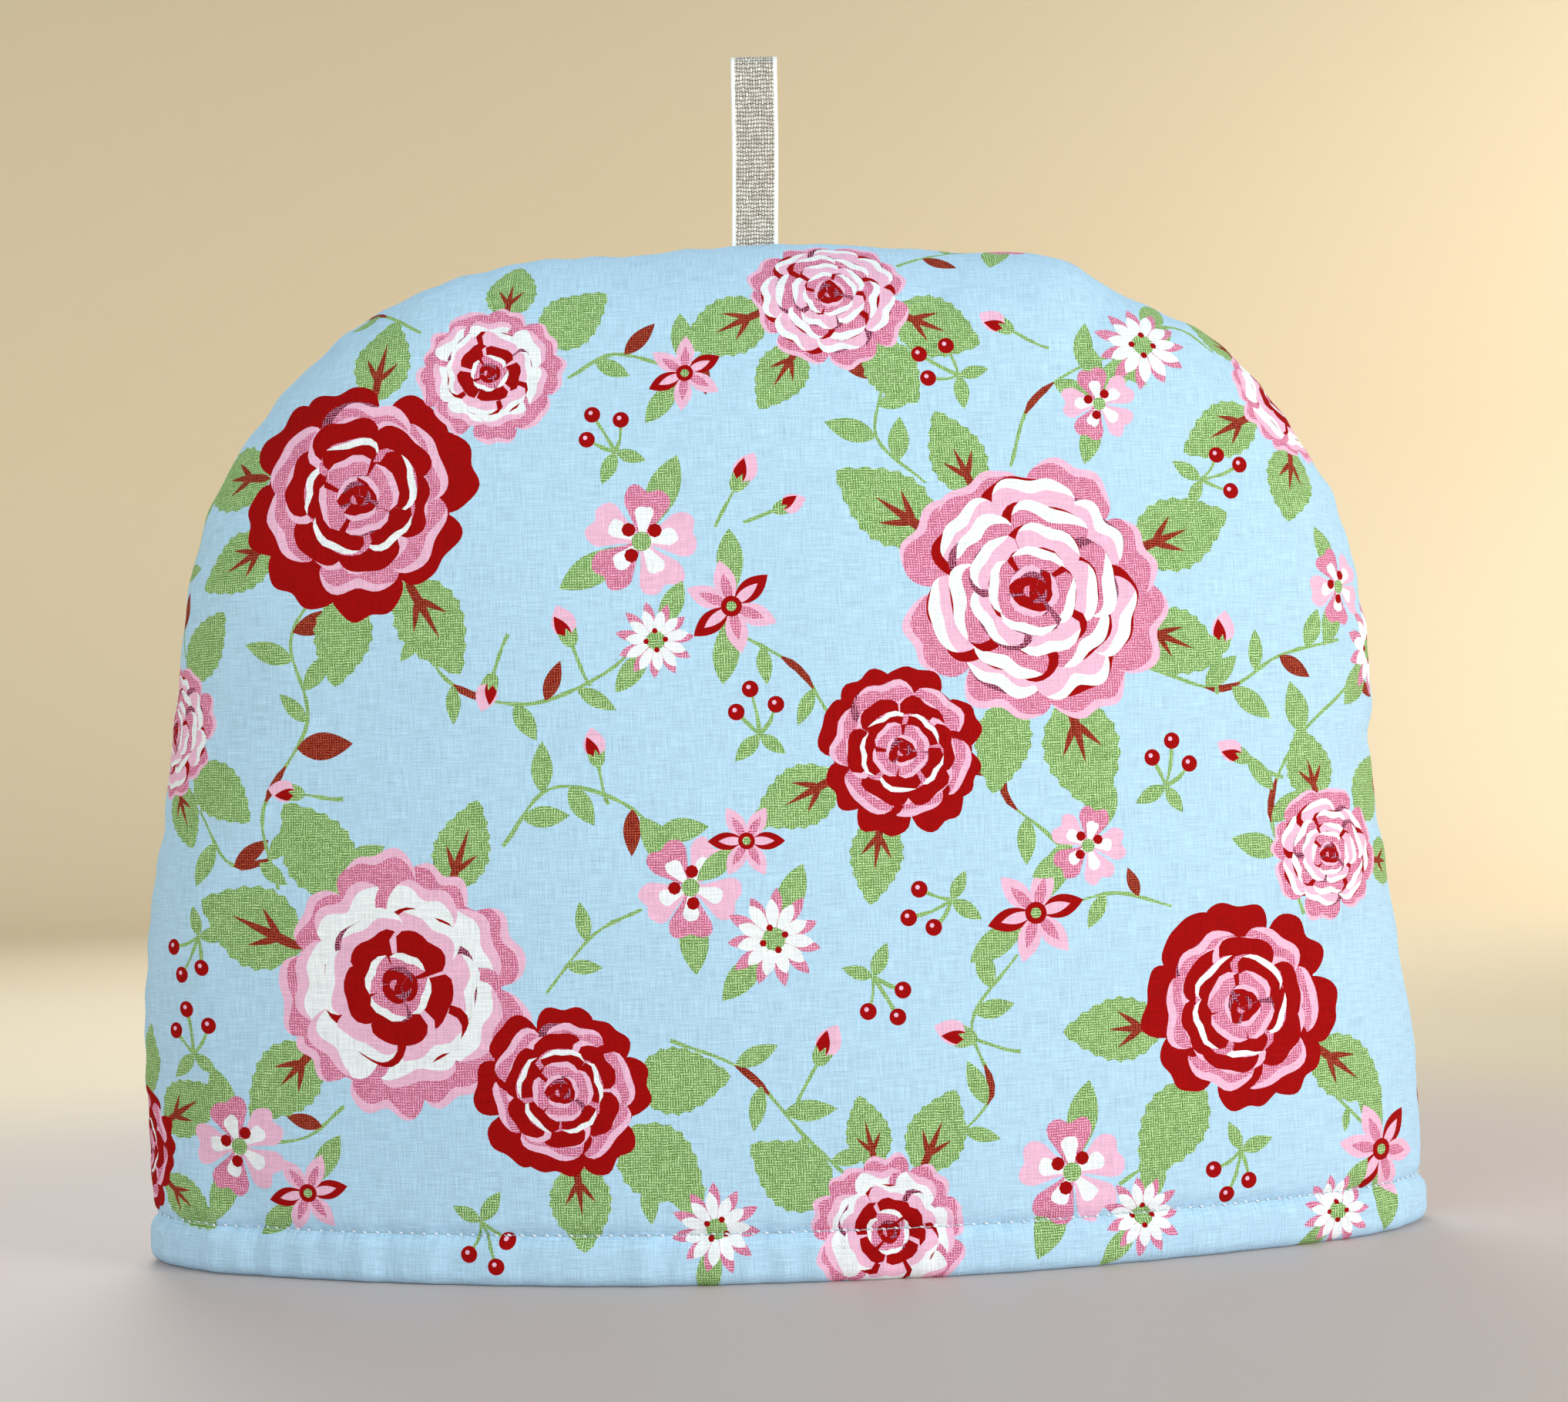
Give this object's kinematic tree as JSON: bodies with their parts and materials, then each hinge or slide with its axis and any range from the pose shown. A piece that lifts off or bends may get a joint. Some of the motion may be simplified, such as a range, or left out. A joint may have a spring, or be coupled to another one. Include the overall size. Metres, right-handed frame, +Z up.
{
  "type": "tea cosy",
  "caption": "Padded dome-shaped cotton tea cosy of front and back panels, open along its hem, with a ribbon hanging loop at the crown.",
  "frame": {"origin": "on the table, under the middle of the cosy, in the plane of the seam that joins the two panels", "axes": "+X along the hem to the right as seen from the front, +Y from the front panel to the back panel, +Z up to the hanging loop"},
  "size_m": [0.337, 0.1322, 0.3128],
  "materials": {
    "printed_cotton": "matt plain-weave cotton with a floral print",
    "linen_ribbon": "matt basket-weave ribbon with white selvedges"
  },
  "bodies": {
    "root": {"front_panel": "printed_cotton", "back_panel": "printed_cotton", "hanging_loop": "linen_ribbon"}
  },
  "joints": []
}
